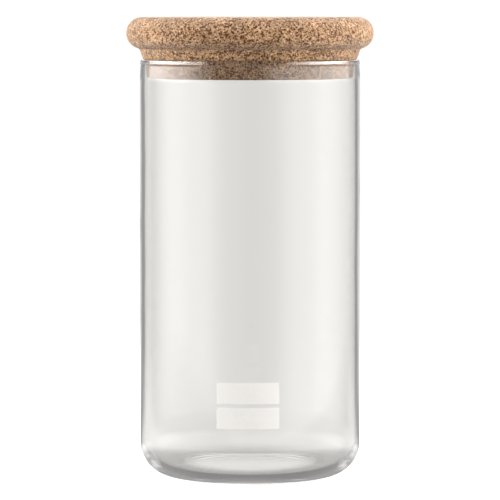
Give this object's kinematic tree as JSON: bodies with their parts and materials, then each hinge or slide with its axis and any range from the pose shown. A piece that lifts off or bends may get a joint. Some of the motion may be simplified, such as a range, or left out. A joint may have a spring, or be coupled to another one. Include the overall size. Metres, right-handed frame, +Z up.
{
  "type": "lidded glass canister",
  "caption": "Clear straight-sided glass storage canister with a rounded bottom corner, white printed writing panels and a bullnosed cork stopper lid that lifts out.",
  "frame": {"origin": "centre of the jar's foot, on the surface that it stands on", "axes": "+Z up along the jar's axis, -Y towards the printed panels"},
  "size_m": [0.1056, 0.1056, 0.196],
  "materials": {
    "clear_glass": "clear blown glass with a fire-polished lip",
    "cork": "raw turned agglomerated cork, matte, with dark specks",
    "white_print": "fired white print, satin"
  },
  "bodies": {
    "jar": {"glass_jar": "clear_glass", "upper_panel": "white_print", "writing_panel": "white_print"},
    "lid": {"cork_lid": "cork"}
  },
  "joints": [
    {"name": "lid_lift", "type": "slide", "parent": "jar", "child": "lid", "axis": [0, 0, 1], "range_m": [0, 0.08]}
  ]
}
